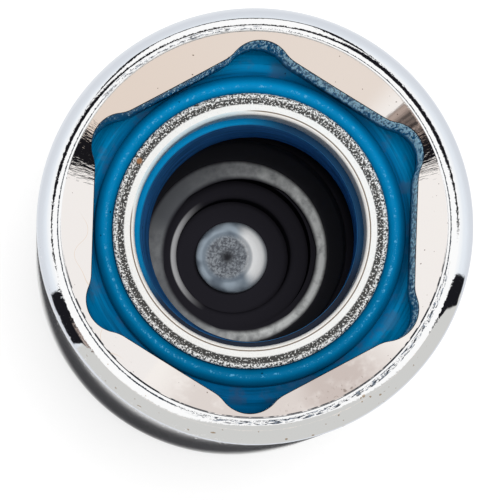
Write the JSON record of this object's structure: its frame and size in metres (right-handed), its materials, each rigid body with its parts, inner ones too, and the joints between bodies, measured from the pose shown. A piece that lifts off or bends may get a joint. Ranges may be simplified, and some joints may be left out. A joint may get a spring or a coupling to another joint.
{
  "type": "spark plug socket",
  "caption": "Round deep socket with a lobed six point mouth, a blue moulded insert holding a ring magnet, a stepped plug bore with a pin on its floor, and a square drive hole.",
  "frame": {"origin": "middle of the drive end's foot, on the surface that the socket stands on", "axes": "+Z along the socket's axis, from the drive end up to the mouth; +Y through a corner of the six point opening"},
  "size_m": [0.0218, 0.0218, 0.07],
  "materials": {
    "plated_steel": "polished nickel chrome plating, dark scale in the deep bores",
    "blue_plastic": "semi gloss moulded plastic, blue",
    "nickel_magnet": "bright nickel plating with a tumbled sparkle",
    "bright_pin": "bright turned steel, rough end face"
  },
  "bodies": {
    "root": {"socket_body": "plated_steel", "retainer_insert": "blue_plastic", "ring_magnet": "nickel_magnet", "centre_pin": "bright_pin"}
  },
  "joints": []
}
